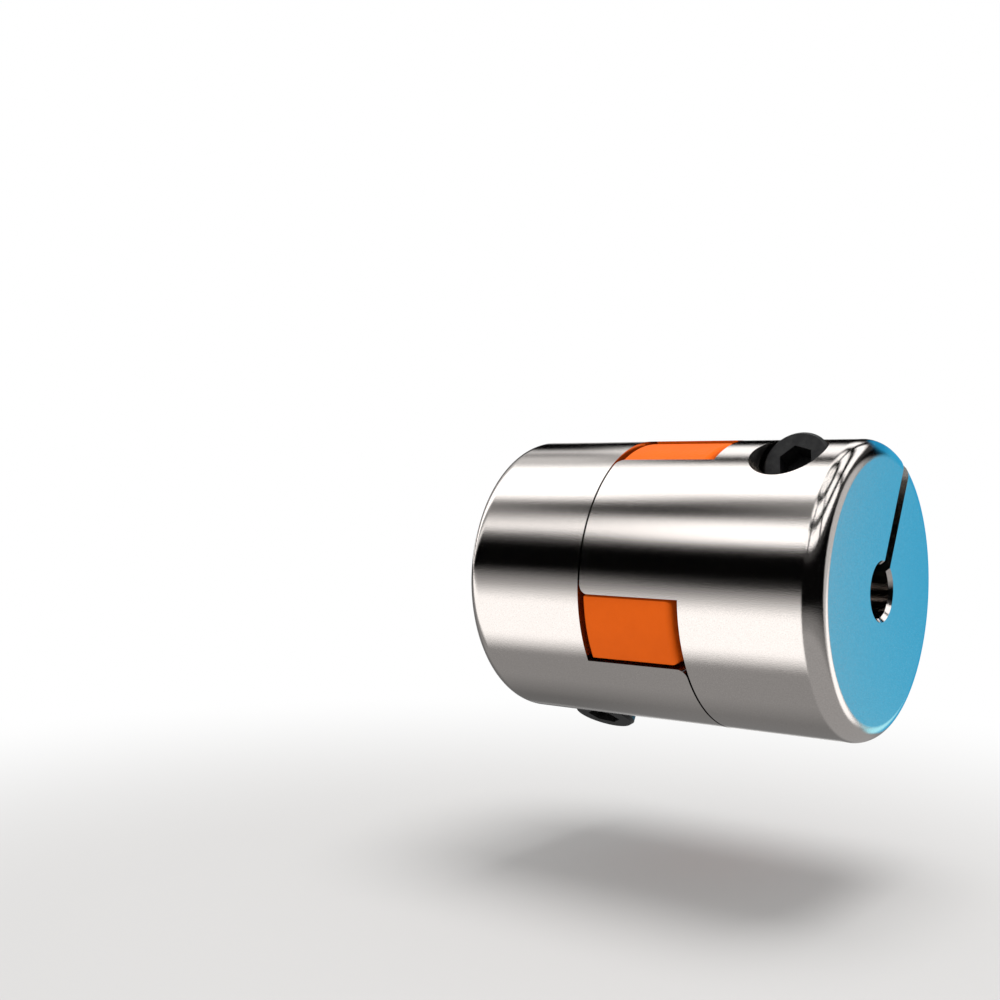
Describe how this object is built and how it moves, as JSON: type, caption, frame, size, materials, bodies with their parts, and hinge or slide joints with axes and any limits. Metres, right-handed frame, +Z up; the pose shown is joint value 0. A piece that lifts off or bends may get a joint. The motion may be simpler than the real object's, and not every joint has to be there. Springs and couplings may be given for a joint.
{
  "type": "flexible shaft coupling",
  "caption": "Elastic jaw coupling: clamping hubs with claws that mesh through an orange elastomer star, for joining a thick driving shaft to a thinner driven shaft.",
  "frame": {"origin": "on the shafts' axis inside the driving bore, in the plane of the driving hub's clamp screw", "axes": "+X along the shafts from the driving hub to the driven hub, +Z up, as the coupling is mounted between horizontal shafts"},
  "size_m": [0.0752, 0.056, 0.0622],
  "materials": {
    "hub_steel": "polished",
    "star_elastomer": "satin",
    "screw_steel": "black oxide"
  },
  "bodies": {
    "driving_hub": {"driving_hub": "hub_steel"},
    "elastomer_star": {"elastomer_star": "star_elastomer"},
    "driven_hub": {"driven_hub": "hub_steel"},
    "driving_clamp_screw": {"driving_clamp_screw": "screw_steel"},
    "driven_clamp_screw": {"driven_clamp_screw": "screw_steel"}
  },
  "joints": [
    {"name": "star_play", "type": "hinge", "parent": "driving_hub", "child": "elastomer_star", "pos_m": [0.0236, 0, 0], "axis": [1, 0, 0], "range_deg": [-0.8, 0.8]},
    {"name": "hub_pull_off", "type": "slide", "parent": "elastomer_star", "child": "driven_hub", "axis": [1, 0, 0], "range_m": [0, 0.022]},
    {"name": "driving_screw_turn", "type": "hinge", "parent": "driving_hub", "child": "driving_clamp_screw", "pos_m": [0, 0.00668, -0.02302], "axis": [0, -0.4848, -0.8746], "range_deg": [0, 720]},
    {"name": "driven_screw_turn", "type": "hinge", "parent": "driven_hub", "child": "driven_clamp_screw", "pos_m": [0.0482, -0.00094, 0.01996], "axis": [0, -0.8746, 0.4848], "range_deg": [0, 720]}
  ]
}
